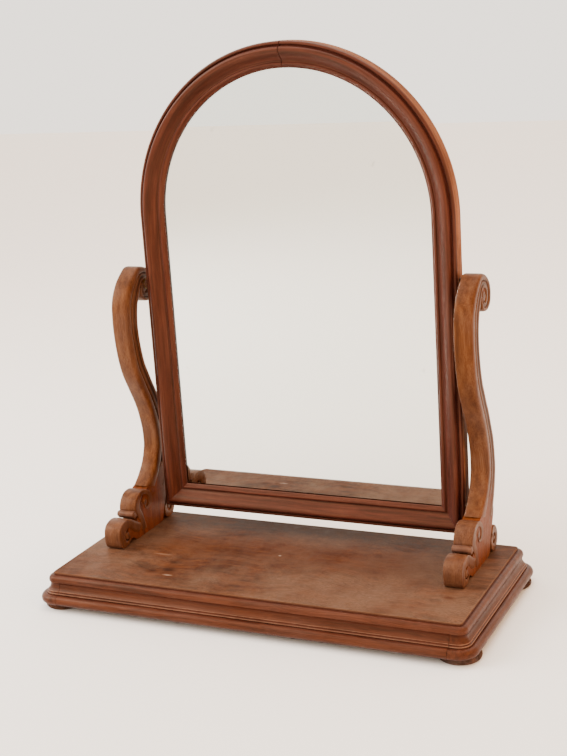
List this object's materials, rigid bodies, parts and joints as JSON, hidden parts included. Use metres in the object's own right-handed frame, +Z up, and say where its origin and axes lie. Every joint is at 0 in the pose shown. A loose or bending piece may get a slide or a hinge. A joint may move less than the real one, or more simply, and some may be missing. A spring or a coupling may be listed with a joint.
{
  "type": "swing dressing mirror with concealed drawer",
  "caption": "Arched swing mirror in a moulded wooden frame, held between two scrolled supports on a low moulded base with bun feet and a concealed shallow drawer.",
  "frame": {"origin": "on the surface it stands on, under the middle of the base", "axes": "+X to the right as seen from the front, -Y towards the user, +Z up"},
  "size_m": [0.6454, 0.3078, 0.7613],
  "materials": {
    "frame_wood": "polished dark mahogany, worn",
    "support_wood": "polished orange-brown mahogany, worn",
    "base_wood": "polished mahogany, rubbed at its edges",
    "top_wood": "faded figured mahogany, scuffed",
    "inner_wood": "plain pine, unfinished",
    "mirror": "silvered plate glass",
    "brass": "dull brass",
    "leather": "brown leather",
    "steel": "dull steel"
  },
  "bodies": {
    "base": {"top_board": "top_wood", "back_rail": "base_wood", "side_rail_left": "base_wood", "side_rail_right": "base_wood", "bottom_board": "inner_wood", "drawer_runner_left": "inner_wood", "drawer_runner_right": "inner_wood", "drawer_stops": "inner_wood", "foot_front_left": "base_wood", "foot_front_right": "base_wood", "foot_back_left": "base_wood", "foot_back_right": "base_wood", "support_left": "support_wood", "support_right": "support_wood", "pivot_bush_left": "brass", "pivot_bush_right": "brass", "foot_screws": "steel", "support_screws": "steel"},
    "mirror": {"frame_bottom_rail": "frame_wood", "frame_stile_left": "frame_wood", "frame_stile_right": "frame_wood", "frame_arch_left": "frame_wood", "frame_arch_right": "frame_wood", "frame_dowels": "inner_wood", "mirror_glass": "mirror", "backboard": "inner_wood", "backboard_screws": "steel", "pivot_stud_left": "brass", "pivot_stud_right": "brass", "pivot_plate_screws": "brass", "friction_washer_left": "leather", "friction_washer_right": "leather"},
    "drawer": {"drawer_front": "base_wood", "drawer_side_left": "inner_wood", "drawer_side_right": "inner_wood", "drawer_back": "inner_wood", "drawer_bottom": "inner_wood"}
  },
  "joints": [
    {"name": "mirror_tilt", "type": "hinge", "parent": "base", "child": "mirror", "pos_m": [0, 0.104, 0.4215], "axis": [1, 0, 0], "range_deg": [-60, 60]},
    {"name": "drawer_slide", "type": "slide", "parent": "base", "child": "drawer", "axis": [0, -1, 0], "range_m": [0, 0.17]}
  ]
}
